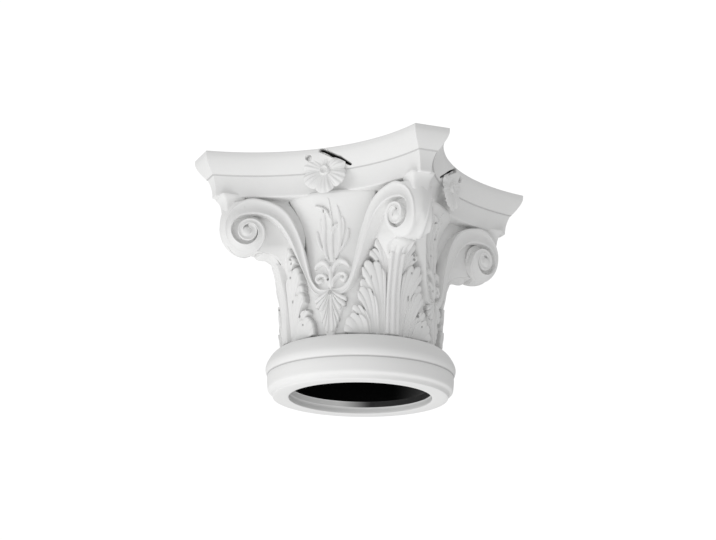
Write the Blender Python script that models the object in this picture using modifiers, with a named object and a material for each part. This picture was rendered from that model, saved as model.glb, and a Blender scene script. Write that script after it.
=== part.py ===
# Corinthian capital, cast in one piece, hollow and open below, for a column neck of 250 mm.
# Metres, +Z up, origin at the middle of the underside. The four faces look along X and Y.

import math

import bmesh
import bpy
import numpy as np
from mathutils import Matrix, Vector

# Abacus
HEIGHT = 0.331              # underside of the ring to the top bed
CORNER_REACH = 0.2504       # axis to the flat of a cut corner
CORNER_HALF_WIDTH = 0.026   # half of that flat
WAIST_REACH = 0.1455        # axis to the middle of a hollow side
EDGE_BAND = 0.006           # plain edge at the top
OVOLO_DEPTH = 0.024
OVOLO_REACH = 0.014
FILLET_STEP = 0.002         # height and width of the little step under the ovolo
CAVETTO_DEPTH = 0.028
CAVETTO_REACH = 0.006

# Bell
BELL_RADIUS = 0.108         # ground of the carving, low down
LIP_SHOW = 0.0065           # how far the lip stands out under the middle of a hollow side
LIP_HEIGHT = 0.006          # plain edge of the lip
LIP_FLARE = 0.060           # height over which the bell opens to its lip

# Ring at the foot
RING_HEIGHT = 0.066
TORUS_RADIUS = 0.1362
TORUS_ROUND = 0.010         # how far the torus draws in above and below
BAND_RADIUS = 0.1332
FOOT_RADIUS = 0.1255
FOOT_HEIGHT = 0.007
BAND_TOP = 0.031            # line between the band and the torus
GROOVE_RADIUS = 0.113       # undercut line above the torus

# Hollow
MOUTH_RADIUS = 0.1022
MOUTH_DEPTH = 0.017
HOLLOW_RADIUS = 0.097
ROOF = 0.025                # thickness of the closed top
LIP_WALL = 0.021            # wall left at the lip

# Stems and volutes
STEM_FRONT = 0.112          # axis to the front of the stems at the middle of a face
STEM_SPREAD = 0.056         # sideways distance at which a stem leaves the bell for good
STEM_LEAD = 0.0095          # how far a stem has come forward there
STEM_FOOT = 0.133           # height of the bow that joins two stems
VOLUTE_TURN = math.radians(27.7)
EYE_ACROSS = 0.1113         # sideways distance of the volute's eye from the middle of the face
EYE_DROP = 0.0498           # underside of the abacus to the eye
VOLUTE_RADIUS = 0.0465      # eye to the top of the rim
SNAIL_RADIUS = 0.021        # raised disc round the eye
CHANNEL_DEPTH = 0.0045
RIM_FALL = 0.010            # how far the rim falls back toward the corner by its lowest point
WEB_SWELL = 0.008           # how far the web between two volutes swells past their rims
WEB_LAP = 0.002             # how far one volute of a corner runs into the other's web
RECESS = 0.014              # depth of the ground between stem, disc and leaf
NECK_REACH = 0.2145         # axis to the narrowest place of the web over a volute
NECK_HALF_WIDTH = 0.013

# Leaves
LEAF_HALF_WIDTH = 0.053     # lowest tier of a corner leaf, measured round the bell
LEAF_TOP = 0.200            # where a corner leaf bends outward
LEAF_TIP = 0.163            # axis to the curled tip
LEAF_RELIEF = 0.011
PALMETTE_HALF_WIDTH = 0.026
PALMETTE_RELIEF = 0.006

# Flower
FLOWER_SETBACK = 0.003      # top edge of a hollow side to the front of the boss
FLOWER_DROP = 0.031         # top of the abacus to the boss
FLOWER_RADIUS = 0.030
BOSS_RADIUS = 0.006
PETALS = 6
PETAL_THICKNESS = 0.005
POCKET_DEPTH = 0.013        # hollow behind the upper petals

FACES = 4
ROUND_SIDES = 32
SINK = 0.004                # how far carving runs into what carries it

# What follows from the sizes above
ABACUS_UNDERSIDE = HEIGHT - EDGE_BAND - OVOLO_DEPTH - FILLET_STEP - CAVETTO_DEPTH
ABACUS_DRAW = OVOLO_REACH + FILLET_STEP + CAVETTO_REACH    # top edge back to the underside's edge
LIP_RADIUS = WAIST_REACH - ABACUS_DRAW + LIP_SHOW
EYE_HEIGHT = ABACUS_UNDERSIDE - EYE_DROP
FLOWER_REACH = WAIST_REACH - FLOWER_SETBACK
FLOWER_HEIGHT = HEIGHT - FLOWER_DROP


def new_collection(name):
    group = bpy.data.collections.new(name)
    bpy.context.scene.collection.children.link(group)
    return group


def clear_scene():
    for thing in list(bpy.data.objects):
        bpy.data.objects.remove(thing, do_unlink=True)


def object_from(name, shape, group, helper=True):
    """Makes an object of a bmesh, whose faces are turned outward first."""
    bmesh.ops.recalc_face_normals(shape, faces=shape.faces)
    mesh = bpy.data.meshes.new(name)
    shape.to_mesh(mesh)
    shape.free()
    thing = bpy.data.objects.new(name, mesh)
    group.objects.link(thing)
    if helper:
        thing.hide_render = True
        thing.display_type = "WIRE"
    return thing


def loft(rings):
    """Closed solid through rings of equal count, with a cap on the first and the last."""
    shape = bmesh.new()
    rows = [[shape.verts.new(Vector(point)) for point in ring] for ring in rings]
    count = len(rows[0])
    for low, high in zip(rows, rows[1:]):
        for i in range(count):
            j = (i + 1) % count
            shape.faces.new((low[i], low[j], high[j], high[i]))
    shape.faces.new(reversed(rows[0]))
    shape.faces.new(rows[-1])
    return shape


def turned(name, profile, group, helper=True):
    """Turned solid: the profile of (radius, height) runs down its outer side."""
    mesh = bpy.data.meshes.new(name)
    points = [(radius, 0.0, height) for radius, height in profile]
    mesh.from_pydata(points, [(i, i + 1) for i in range(len(points) - 1)], [])
    thing = bpy.data.objects.new(name, mesh)
    group.objects.link(thing)
    screw = thing.modifiers.new("turn", "SCREW")
    screw.steps = ROUND_SIDES
    screw.render_steps = ROUND_SIDES
    screw.use_merge_vertices = True
    screw.merge_threshold = 0.00001
    if helper:
        thing.hide_render = True
        thing.display_type = "WIRE"
    return thing


def round_the_axis(name, shape, group, sides=(1,)):
    """One copy on each face, and for side -1 its mirror image."""
    for turn in range(FACES):
        for side in sides:
            copy = shape.copy()
            matrix = Matrix.Rotation(turn * math.tau / FACES, 4, "Z") @ Matrix.Diagonal((side, 1, 1, 1))
            bmesh.ops.transform(copy, matrix=matrix, verts=copy.verts)
            object_from(f"{name}_{turn}_{'right' if side == 1 else 'left'}", copy, group)
    shape.free()


def polar(radius, angle, height):
    """Point on the face that looks along -Y, with its angle from the middle of that face."""
    return (radius * math.sin(angle), -radius * math.cos(angle), height)


# Abacus: the hollow sides are arcs about a point in front of each face.
def abacus_outline(inset, height, steps=8):
    corner_across = (CORNER_REACH - CORNER_HALF_WIDTH) / math.sqrt(2)
    corner_out = (CORNER_REACH + CORNER_HALF_WIDTH) / math.sqrt(2)
    sagitta = corner_out - WAIST_REACH
    radius = (corner_across**2 + sagitta**2) / (2 * sagitta)
    centre = WAIST_REACH + radius
    radius += inset
    # Where the inset arc meets the inset flat of the corner, x + y = reach * sqrt(2).
    total = (CORNER_REACH - inset) * math.sqrt(2)
    half_sum = (total - centre) / 2
    across = half_sum + math.sqrt(radius**2 / 2 - half_sum**2)
    end = math.asin(across / radius)
    side = []
    for angle in np.linspace(-end, end, steps + 1):
        side.append((radius * math.sin(angle), radius * math.cos(angle) - centre))
    points = []
    for turn in range(FACES):
        c, s = math.cos(turn * math.tau / FACES), math.sin(turn * math.tau / FACES)
        points += [(c * x - s * y, s * x + c * y, height) for x, y in side]
    return points


def abacus_profile():
    """(inset, depth below the top) down the moulding."""
    profile = [(0.0, 0.0)]
    for share in (0.0, 0.5, 1.0):
        profile.append((OVOLO_REACH * share**1.5, EDGE_BAND + OVOLO_DEPTH * share))
    start = EDGE_BAND + OVOLO_DEPTH + FILLET_STEP
    for share in (0.0, 0.4, 1.0):
        inset = OVOLO_REACH + FILLET_STEP + CAVETTO_REACH * (1 - (1 - share) ** 2)
        profile.append((inset, start + CAVETTO_DEPTH * share))
    return profile


def make_abacus(group, pockets):
    rings = [abacus_outline(inset, HEIGHT - depth) for inset, depth in abacus_profile()]
    abacus = object_from("abacus", loft(rings), group)
    cut = abacus.modifiers.new("pockets", "BOOLEAN")
    cut.operand_type = "COLLECTION"
    cut.collection = pockets
    cut.operation = "DIFFERENCE"
    cut.solver = "EXACT"


# Bell with the ring at its foot, turned in one profile.
def bell_radius(height):
    """Ground of the carving: straight below, opening in a curve to the lip."""
    rise = (height - (ABACUS_UNDERSIDE - LIP_FLARE - LIP_HEIGHT)) / LIP_FLARE
    return BELL_RADIUS + (LIP_RADIUS - 0.003 - BELL_RADIUS) * min(max(rise, 0.0), 1.0) ** 2.2


def bell_profile():
    lip_low = ABACUS_UNDERSIDE - LIP_HEIGHT
    profile = [(0.0, HEIGHT - ROOF / 2), (LIP_RADIUS * 0.9, HEIGHT - ROOF / 2)]
    profile += [(LIP_RADIUS * 0.9, ABACUS_UNDERSIDE + 0.003), (LIP_RADIUS, ABACUS_UNDERSIDE + 0.002)]
    profile.append((LIP_RADIUS, lip_low))
    for share in (1.0, 0.75, 0.5, 0.0):
        height = lip_low - LIP_FLARE * (1 - share)
        profile.append((bell_radius(height), height))
    profile.append((BELL_RADIUS, RING_HEIGHT + 0.010))
    profile.append((GROOVE_RADIUS, RING_HEIGHT))
    profile.append((GROOVE_RADIUS + 0.002, RING_HEIGHT - 0.004))
    middle = BAND_TOP + (RING_HEIGHT - BAND_TOP) * 0.34
    half = (RING_HEIGHT - BAND_TOP) * 0.40
    for angle in np.radians((70, 35, 0, -35)):
        radius = TORUS_RADIUS - TORUS_ROUND * (1 - math.cos(angle))
        profile.append((radius, middle + half * math.sin(angle)))
    profile.append((BAND_RADIUS - 0.001, BAND_TOP))
    profile += [(BAND_RADIUS, BAND_TOP - 0.004), (BAND_RADIUS, FOOT_HEIGHT + 0.010)]
    profile += [(BAND_RADIUS - 0.003, FOOT_HEIGHT + 0.001), (FOOT_RADIUS, FOOT_HEIGHT)]
    profile += [(FOOT_RADIUS, 0.0), (0.0, 0.0)]
    return profile


def make_hollow(group):
    lip_low = ABACUS_UNDERSIDE - LIP_HEIGHT
    inner_lip = LIP_RADIUS - LIP_WALL
    profile = [(0.0, HEIGHT - ROOF), (inner_lip, HEIGHT - ROOF), (inner_lip, lip_low)]
    profile += [(HOLLOW_RADIUS, lip_low - LIP_FLARE * 0.6), (HOLLOW_RADIUS, MOUTH_DEPTH)]
    profile += [(MOUTH_RADIUS, MOUTH_DEPTH), (MOUTH_RADIUS, -0.01), (0.0, -0.01)]
    return turned("hollow", profile, group)


# Stems and volutes stand on a front that leaves the bell and then runs straight to the corner.
def front(across):
    """Distance in front of the axis, and slope, of the stem's front at a sideways distance."""
    bend = min(across, STEM_SPREAD) / STEM_SPREAD
    beyond = max(0.0, across - STEM_SPREAD)
    slope = math.tan(VOLUTE_TURN)
    depth = STEM_FRONT + STEM_LEAD * bend**3 + slope * beyond
    if across < STEM_SPREAD:
        slope = 3 * STEM_LEAD * bend**2 / STEM_SPREAD
    return depth, slope


def on_front(across, height, inward=0.0):
    """Point on the front, or a distance behind it along the front's own inward direction."""
    depth, slope = front(across)
    length = math.hypot(slope, 1.0)
    return (across + inward * slope / length, -depth + inward / length, height)


def way_in(across, past):
    """Distance behind the front at which the bell's core or the corner's middle plane is met."""
    depth, slope = front(across)
    length = math.hypot(slope, 1.0)
    to_middle = (depth - across) / ((1 + slope) / length) + past
    core = BELL_RADIUS - SINK
    along = (across * slope - depth) / length
    inside = along**2 - (across**2 + depth**2 - core**2)
    if inside <= 0:
        return to_middle
    return min(to_middle, -along - math.sqrt(inside) + 0.001)


# Upper and lower edge of a stem, as shares of the eye's sideways distance and of the rise
# from the bow to the top of the volute.
STEM_EDGES = (
    ((0.000, 0.000), (0.000, -0.075)),
    ((0.110, 0.000), (0.140, -0.062)),
    ((0.180, 0.022), (0.252, -0.010)),
    ((0.243, 0.089), (0.322, 0.097)),
    ((0.300, 0.235), (0.395, 0.255)),
    ((0.345, 0.400), (0.460, 0.415)),
    ((0.420, 0.609), (0.575, 0.630)),
    ((0.500, 0.770), (0.680, 0.735)),
    ((0.600, 0.905), (0.790, 0.800)),
    ((0.770, 0.980), (0.900, 0.825)),
)

# Outer edge of the volute's rim, by turn from its top towards the corner, as shares of its radius.
RIM_TURNS = (0, 36, 72, 105, 140, 176, 218, 262)
RIM_SHARES = (1.0, 0.87, 0.74, 0.70, 0.685, 0.68, 0.63, 0.50)


def stem_section(outer, inner, behind, fall, past):
    """Raised edges with a hollow between them, and walls that run back into the body."""
    across = [outer[0] + (inner[0] - outer[0]) * share for share in (0.0, 0.55, 1.0)]
    height = [outer[1] + (inner[1] - outer[1]) * share for share in (0.0, 0.55, 1.0)]
    drop = (fall, CHANNEL_DEPTH + fall * 0.3, inner[2])
    points = [on_front(a, h, d) for a, h, d in zip(across, height, drop)]
    points.append(on_front(inner[0], inner[1], way_in(inner[0], past)))
    points.append(on_front(behind[0], behind[1], way_in(behind[0], past)))
    return points


def volute_rings(past):
    """Sections up the stem and round the volute, which run a distance past the corner's middle."""
    rise = EYE_HEIGHT + VOLUTE_RADIUS - STEM_FOOT
    rings = []
    for upper, lower in STEM_EDGES:
        outer = (upper[0] * EYE_ACROSS, STEM_FOOT + upper[1] * rise)
        inner = (lower[0] * EYE_ACROSS, STEM_FOOT + lower[1] * rise, 0.0)
        rings.append(stem_section(outer, inner, outer, 0.0, past))
    narrow = math.cos(VOLUTE_TURN)
    floor = SNAIL_RADIUS - 0.003
    for degrees, share in zip(RIM_TURNS, RIM_SHARES):
        turn = math.radians(degrees)
        edge = VOLUTE_RADIUS * share
        sideways, upward = math.sin(turn) * narrow, math.cos(turn)
        outer = (EYE_ACROSS + edge * sideways, EYE_HEIGHT + edge * upward)
        sunk = CHANNEL_DEPTH * min(1.0, degrees / 60)
        inner = (EYE_ACROSS + floor * sideways, EYE_HEIGHT + floor * upward, sunk)
        web = edge + WEB_SWELL * max(0.0, math.sin(turn))
        behind = (EYE_ACROSS + web * sideways, EYE_HEIGHT + web * upward)
        rings.append(stem_section(outer, inner, behind, RIM_FALL * math.sin(turn / 2), past))
    return rings


def make_snail():
    """Raised disc round the eye: a rim, a hollow and a boss, turned about the eye's own axis."""
    profile = [(SNAIL_RADIUS, RECESS + 0.006), (SNAIL_RADIUS, 0.0), (SNAIL_RADIUS - 0.003, -0.003)]
    profile += [(SNAIL_RADIUS * 0.70, -0.001), (SNAIL_RADIUS * 0.5, 0.003)]
    profile.append((SNAIL_RADIUS * 0.28, -0.002))
    narrow = math.cos(VOLUTE_TURN)
    rings = []
    for radius, inward in profile:
        ring = []
        for turn in np.linspace(0, math.tau, 10, endpoint=False):
            across = EYE_ACROSS + radius * math.sin(turn) * narrow
            ring.append(on_front(across, EYE_HEIGHT + radius * math.cos(turn), inward))
        rings.append(ring)
    return loft(rings)


def to_corner(reach, aside, height):
    """Point given by its distance along the corner's diagonal and to the side of it."""
    return ((reach + aside) / math.sqrt(2), (aside - reach) / math.sqrt(2), height)


def volute_half_gap(reach):
    """Half the distance between a corner's two volute fronts, at a distance along the diagonal."""
    slope = math.tan(VOLUTE_TURN)
    offset = STEM_FRONT + STEM_LEAD - slope * STEM_SPREAD
    # On the front y = -(offset + slope x); reach = (x - y) / sqrt 2 and gap = (-y - x) / sqrt 2.
    across = (reach * math.sqrt(2) - offset) / (1 + slope)
    return (offset + (slope - 1) * across) / math.sqrt(2)


def corner_block():
    """Ground between the two volutes of a corner, set back from their fronts."""
    half = math.pi / 4 - VOLUTE_TURN
    back = RECESS / math.cos(half)
    eye_depth = front(EYE_ACROSS)[0]
    eye_reach = (EYE_ACROSS + eye_depth) / math.sqrt(2)
    inner = BELL_RADIUS - SINK
    low = EYE_HEIGHT - VOLUTE_RADIUS * 0.42
    top = ABACUS_UNDERSIDE + SINK
    far = eye_reach + VOLUTE_RADIUS * 0.62
    outline = [(inner, low - 0.006), (eye_reach - VOLUTE_RADIUS * 0.6, low - 0.006)]
    outline += [(eye_reach, EYE_HEIGHT - VOLUTE_RADIUS * 0.6), (far, EYE_HEIGHT), (far - 0.004, top)]
    outline += [(inner, top)]
    rings = []
    for side in (1, -1):
        rings.append([to_corner(r, side * max(0.002, volute_half_gap(r) - back), z) for r, z in outline])
    return loft(rings)


def corner_neck():
    """Web over the volutes, which opens out to the abacus corner."""
    low = EYE_HEIGHT + VOLUTE_RADIUS * 0.45
    rise = ABACUS_UNDERSIDE - low
    inner = NECK_REACH - 0.030
    corner = CORNER_REACH - ABACUS_DRAW
    rings = []
    for share, out, wide in ((0.0, -0.35, 0.5), (0.35, 0.0, 0.95), (0.65, 0.06, 1.15), (0.92, 0.45, 1.45)):
        reach = NECK_REACH + (corner - NECK_REACH) * out * 0.9
        half = NECK_HALF_WIDTH * wide
        height = low + rise * share
        ring = [(inner, half), (reach - 0.004, half), (reach, half * 0.7)]
        ring += [(reach, -half * 0.7), (reach - 0.004, -half), (inner, -half)]
        rings.append([to_corner(r, a, height) for r, a in ring])
    rings.append([(x, y, ABACUS_UNDERSIDE + SINK) for x, y, _ in rings[-1]])
    return loft(rings)


# Corner leaf: three tiers of side lobes on the bell, then a tip that bends out under the volutes.
LEAF_TIERS = (
    # low share of the leaf's height, high share, half width at its foot and at its shoulder
    (0.00, 0.29, 0.86, 1.00),
    (0.31, 0.59, 0.72, 0.85),
    (0.61, 0.88, 0.62, 0.72),
)
LEAF_CURL = (
    # share of the way to the tip, drop below the bend, share of the width, share of the thickness
    (0.12, 0.008, 0.46, 1.0),
    (0.38, 0.002, 0.44, 0.9),
    (0.64, 0.003, 0.40, 0.8),
    (0.88, 0.009, 0.30, 0.7),
    (1.00, 0.017, 0.16, 0.3),
)
LEAF_COLUMNS = (-1.0, -0.8, -0.5, -0.2, 0.0, 0.2, 0.5, 0.8, 1.0)
# How far the lobes point up at each column, as shares of the longest point.
LEAF_POINTS = {0.0: 0.0, 0.2: -0.6, 0.5: 1.0, 0.8: -0.2, 1.0: 0.4}
LEAF_POINT = 0.007          # longest point of a lobe above its tier


def leaf_relief(share, lift):
    """Front of the leaf across its width: midrib, hollow beside it, swelling lobes, thin edge."""
    aside = abs(share)
    rib = math.exp(-((aside / 0.14) ** 2))
    lobe = math.sin(min(1.0, max(0.0, (aside - 0.16) / 0.84)) * math.pi) ** 0.8
    return 0.25 + 0.45 * rib + lift * lobe


def leaf_ring(half_width, reach, height, lift, normal, thickness, points_up=0.0):
    """Section of the leaf: its front, and a back of its own or one inside the bell."""
    ring = []
    for share in LEAF_COLUMNS:
        out = LEAF_RELIEF * leaf_relief(share, lift)
        radius = reach + out * normal[0]
        angle = half_width * share / reach
        level = height + out * normal[1] + points_up * LEAF_POINTS[abs(share)]
        ring.append((radius * math.cos(angle), radius * math.sin(angle), level))
    for share in (0.8, -0.8):
        radius = reach - thickness * normal[0]
        angle = half_width * share / reach
        ring.append((radius * math.cos(angle), radius * math.sin(angle), height - thickness * normal[1]))
    return [to_corner(out, aside, level) for out, aside, level in ring]


def corner_leaf():
    foot = RING_HEIGHT - 0.006
    rise = LEAF_TOP - foot
    rings = []
    for low, high, narrow, wide in LEAF_TIERS:
        for share in (0.0, 0.6, 1.0):
            height = foot + rise * (low + (high - low) * share)
            width = narrow + (wide - narrow) * math.sin(share * math.pi / 2) - 0.06 * (share == 1.0)
            lift = 0.3 + 0.6 * share**2
            points_up = LEAF_POINT * (1.0 if share == 1.0 and high < 0.8 else 0.5 * (low > 0 or share > 0))
            reach = bell_radius(height) + 0.002 * (height - foot) / rise
            rings.append(leaf_ring(LEAF_HALF_WIDTH * width, reach, height, lift, (1.0, 0.0), SINK * 2,
                                  points_up))
    start = bell_radius(LEAF_TOP) + 0.004
    spine = [(start + (LEAF_TIP - start) * out, LEAF_TOP - drop) for out, drop, _, _ in LEAF_CURL]
    for i, (_, _, wide, thick) in enumerate(LEAF_CURL):
        before, after = spine[max(i - 1, 0)], spine[min(i + 1, len(spine) - 1)]
        along = (after[0] - before[0], after[1] - before[1])
        length = math.hypot(*along)
        normal = (along[1] / length, -along[0] / length)
        if i == 0:
            normal = (0.90, -0.43)
        ring = leaf_ring(LEAF_HALF_WIDTH * wide, *spine[i], 0.3, normal, LEAF_RELIEF * thick)
        rings.append(ring)
    return loft(rings)


def palmette():
    """Fan that hangs from the bow of the stems, with pointed lobes down each side."""
    top = STEM_FOOT - 0.004
    foot = RING_HEIGHT + 0.006
    rings = []
    for share, wide in ((0.0, 0.20), (0.16, 0.58), (0.19, 0.42), (0.38, 1.0), (0.44, 0.62), (0.66, 0.72),
                        (0.72, 0.40), (1.0, 0.12)):
        height = top + (foot - top) * share
        ring = []
        for column in (-1.0, -0.35, 0.35, 1.0):
            relief = PALMETTE_RELIEF * (1.0 - 0.75 * abs(column) ** 1.5)
            angle = PALMETTE_HALF_WIDTH * wide * column / BELL_RADIUS
            ring.append(polar(BELL_RADIUS + relief, angle, height))
        for column in (0.8, -0.8):
            angle = PALMETTE_HALF_WIDTH * wide * column / BELL_RADIUS
            ring.append(polar(BELL_RADIUS - SINK, angle, height))
        rings.append(ring)
    return loft(rings)


def flower():
    """Petals round a boss, on a stalk that runs back into the abacus."""
    def ring(radius, out, scallop):
        points = []
        for step in range(PETALS * 3):
            turn = (step - 1.5) * math.tau / (PETALS * 3)
            reach = radius * (1 - scallop * (step % 3 == 0))
            points.append((reach * math.sin(turn), -out, FLOWER_HEIGHT + reach * math.cos(turn)))
        return points
    face = FLOWER_REACH - 0.004
    rings = [ring(BOSS_RADIUS, WAIST_REACH - OVOLO_REACH - POCKET_DEPTH - SINK, 0.0)]
    rings.append(ring(FLOWER_RADIUS, face - PETAL_THICKNESS * 0.6, 0.24))
    rings.append(ring(FLOWER_RADIUS * 0.68, face + 0.001, 0.20))
    rings.append(ring(BOSS_RADIUS * 1.5, face - 0.003, 0.0))
    rings.append(ring(BOSS_RADIUS * 0.8, FLOWER_REACH, 0.0))
    return loft(rings)


def flower_pocket():
    """Hollow in the abacus behind the upper petals, so that they stand free."""
    surface = WAIST_REACH - OVOLO_REACH
    radius = FLOWER_RADIUS * 0.88
    rings = []
    for out in (surface - POCKET_DEPTH, surface + 0.030):
        ring = []
        for turn in np.radians((-80, -50, -25, 0, 25, 50, 80)):
            ring.append((radius * math.sin(turn), -out, FLOWER_HEIGHT + radius * math.cos(turn)))
        rings.append(ring)
    return loft(rings)


def bud(name, across, height, wide, tall, proud, tilt, group, sides=6):
    """Small swelling leaf or husk on the bell, an ellipsoid sunk by half."""
    for turn in range(FACES):
        shape = bmesh.new()
        bmesh.ops.create_uvsphere(shape, u_segments=sides, v_segments=sides // 2 + 1, radius=1.0)
        bmesh.ops.rotate(shape, cent=(0, 0, 0), matrix=Matrix.Rotation(0.2, 3, "Z"), verts=shape.verts)
        bmesh.ops.scale(shape, vec=(wide, proud, tall), verts=shape.verts)
        bmesh.ops.rotate(shape, cent=(0, 0, 0), matrix=Matrix.Rotation(tilt, 3, "Y"), verts=shape.verts)
        angle = across / BELL_RADIUS
        place = Vector(polar(bell_radius(height) + 0.001, angle, height))
        matrix = Matrix.Rotation(turn * math.tau / FACES, 4, "Z") @ Matrix.Translation(place)
        matrix = matrix @ Matrix.Rotation(angle, 4, "Z")
        bmesh.ops.transform(shape, matrix=matrix, verts=shape.verts)
        object_from(f"{name}_{turn}", shape, group)


def spray(group):
    """Husks in the bow, a calyx over them and a spray of narrow leaves up to the flower."""
    foot = STEM_FOOT
    rise = FLOWER_HEIGHT - FLOWER_RADIUS - foot
    bud("calyx", 0.0, foot + rise * 0.26, 0.013, 0.013, 0.009, 0.0, group)
    bud("stalk", 0.0, foot + rise * 0.70, 0.0035, rise * 0.42, 0.006, 0.0, group, 4)
    for side, label in ((1, "right"), (-1, "left")):
        bud(f"husk_{label}", side * 0.0125, foot + rise * 0.125, 0.009, 0.008, 0.010, side * 0.5, group)
        bud(f"long_leaf_{label}", side * 0.011, foot + rise * 0.58, 0.0035, 0.024, 0.0055,
            side * 0.12, group, 4)
        bud(f"side_leaf_{label}", side * 0.019, foot + rise * 0.50, 0.0035, 0.014, 0.005,
            side * 0.35, group, 4)


def make_material():
    material = bpy.data.materials.new("cast plaster")
    material.use_nodes = True
    shader = material.node_tree.nodes["Principled BSDF"]
    shader.inputs["Base Color"].default_value = (0.84, 0.84, 0.83, 1.0)
    shader.inputs["Roughness"].default_value = 0.7
    shader.inputs["Metallic"].default_value = 0.0
    return material


def main():
    clear_scene()
    model = new_collection("corinthian capital")
    carving = new_collection("carving")
    cutters = new_collection("cutters")
    pockets = new_collection("pockets")

    capital = turned("capital", bell_profile(), model, helper=False)
    capital.data.materials.append(make_material())

    round_the_axis("pocket", flower_pocket(), pockets)
    make_abacus(carving, pockets)
    round_the_axis("volute", loft(volute_rings(WEB_LAP)), carving)
    round_the_axis("volute", loft(volute_rings(-WEB_LAP / 2)), carving, sides=(-1,))
    round_the_axis("snail", make_snail(), carving, sides=(1, -1))
    round_the_axis("block", corner_block(), carving)
    round_the_axis("neck", corner_neck(), carving)
    round_the_axis("leaf", corner_leaf(), carving)
    round_the_axis("palmette", palmette(), carving)
    round_the_axis("flower", flower(), carving)
    spray(carving)

    join = capital.modifiers.new("carving", "BOOLEAN")
    join.operand_type = "COLLECTION"
    join.collection = carving
    join.operation = "UNION"
    join.solver = "EXACT"
    cut = capital.modifiers.new("hollow", "BOOLEAN")
    cut.object = make_hollow(cutters)
    cut.operation = "DIFFERENCE"
    cut.solver = "EXACT"


main()
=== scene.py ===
import bpy
import numpy as np
from mathutils import Matrix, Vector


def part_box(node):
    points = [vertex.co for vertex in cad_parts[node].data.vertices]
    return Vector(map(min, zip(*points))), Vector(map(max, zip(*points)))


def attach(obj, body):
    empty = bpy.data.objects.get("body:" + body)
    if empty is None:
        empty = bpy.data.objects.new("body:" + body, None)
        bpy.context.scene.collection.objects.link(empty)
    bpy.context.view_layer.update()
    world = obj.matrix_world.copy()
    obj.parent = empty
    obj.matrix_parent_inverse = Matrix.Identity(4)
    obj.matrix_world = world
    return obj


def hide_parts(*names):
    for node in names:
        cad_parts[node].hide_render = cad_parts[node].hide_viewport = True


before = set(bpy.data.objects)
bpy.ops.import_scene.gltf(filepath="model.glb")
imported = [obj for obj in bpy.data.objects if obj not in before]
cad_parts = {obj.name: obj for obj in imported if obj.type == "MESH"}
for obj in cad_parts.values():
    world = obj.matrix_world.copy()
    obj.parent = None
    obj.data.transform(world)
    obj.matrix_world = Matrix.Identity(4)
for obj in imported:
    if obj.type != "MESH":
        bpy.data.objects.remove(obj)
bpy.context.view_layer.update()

lowCorner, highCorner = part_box("capital")
capitalHeight = 331.0       # of the real capital
unit = (highCorner.z - lowCorner.z) / capitalHeight     # metres for one millimetre
rootTwo = np.sqrt(2.0)
faceCount = 4
reliefRadius = 118.0        # arc lengths across the bell are measured at this radius
diagonal = reliefRadius * np.pi / 4     # arc from the middle of a face to the corner beside it
print("stage 1: frame loaded, one millimetre is", round(unit, 6), "m")


# Curves and grids

def smoothPath(points, count):
    # Catmull-Rom curve: it passes through every point, and its slope there follows the two neighbours
    knots = np.asarray(points, float)
    ext = np.vstack([2 * knots[0] - knots[1], knots, 2 * knots[-1] - knots[-2]])
    place = np.linspace(0, len(knots) - 1, count)
    i = np.minimum(place.astype(int), len(knots) - 2)
    f = (place - i)[:, None]
    a, b, c, d = ext[i], ext[i + 1], ext[i + 2], ext[i + 3]
    return 0.5 * (2 * b + (c - a) * f + (2 * a - 5 * b + 4 * c - d) * f**2 + (3 * b - a - 3 * c + d) * f**3)


def curveValue(x, table):
    # value at x of the smooth curve through (x, value) pairs
    dense = smoothPath(table, 40 * len(table))
    return np.interp(x, dense[:, 0], dense[:, 1])


def ease(x, low, high):
    # 0 below low, 1 above high, 3t^2 - 2t^3 between them; low may be the larger one
    t = np.clip((x - low) / (high - low), 0.0, 1.0)
    return t * t * (3 - 2 * t)


def gridQuads(rows, columns, around):
    # quads between neighbouring rows and columns; around joins the last column to the first
    i = np.arange(rows - 1)[:, None]
    j = np.arange(columns if around else columns - 1)[None, :]
    k = (j + 1) % columns
    quads = (i * columns + j, i * columns + k, (i + 1) * columns + k, (i + 1) * columns + j)
    return np.stack(quads, -1).reshape(-1, 4)


def closedShell(rings):
    # rings of equal count joined by quads, with a fan to the middle over the first and the last
    rows, columns = rings.shape[:2]
    points = np.vstack([rings.reshape(-1, 3), rings[0].mean(0), rings[-1].mean(0)])
    j = np.arange(columns)
    k = (j + 1) % columns
    low, high = rows * columns, rows * columns + 1
    start = np.stack([k, j, np.full(columns, low)], -1)
    end = np.stack([j, k, np.full(columns, high)], -1) + np.array([1, 1, 0]) * (rows - 1) * columns
    quads = gridQuads(rows, columns, True)
    triangles = np.vstack([start, end])
    # Six times the volume, from the faces' corners: below zero, the faces point inward.
    halves = np.vstack([triangles, quads[:, :3], quads[:, [0, 2, 3]]])
    a, b, c = (points[halves[:, n]] for n in range(3))
    if np.einsum("ij,ij->i", a, np.cross(b, c)).sum() < 0:
        quads, triangles = quads[:, ::-1], triangles[:, ::-1]
    return points, quads, triangles


def turnedQuarter(points, turn):
    # points on the face that looks along -Y, turned by a number of quarters about the axis
    c, s = np.cos(turn * np.pi / 2), np.sin(turn * np.pi / 2)
    x, y, z = points[..., 0], points[..., 1], points[..., 2]
    return np.stack([c * x - s * y, s * x + c * y, z], -1)


def onBell(across, radius, height):
    # arc length from the middle of the -Y face turned into a place: the angle is the arc over its radius
    angle = across / reliefRadius
    return np.stack([radius * np.sin(angle), -radius * np.cos(angle), height], -1)


def atCorner(out, aside, height):
    # distance out along the corner's diagonal and to the side of it, turned into a place
    return np.stack([(out + aside) / rootTwo, (aside - out) / rootTwo, height + 0 * out], -1)


sharpFrom = 42.0            # an edge that turns by more than this stays sharp


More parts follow.
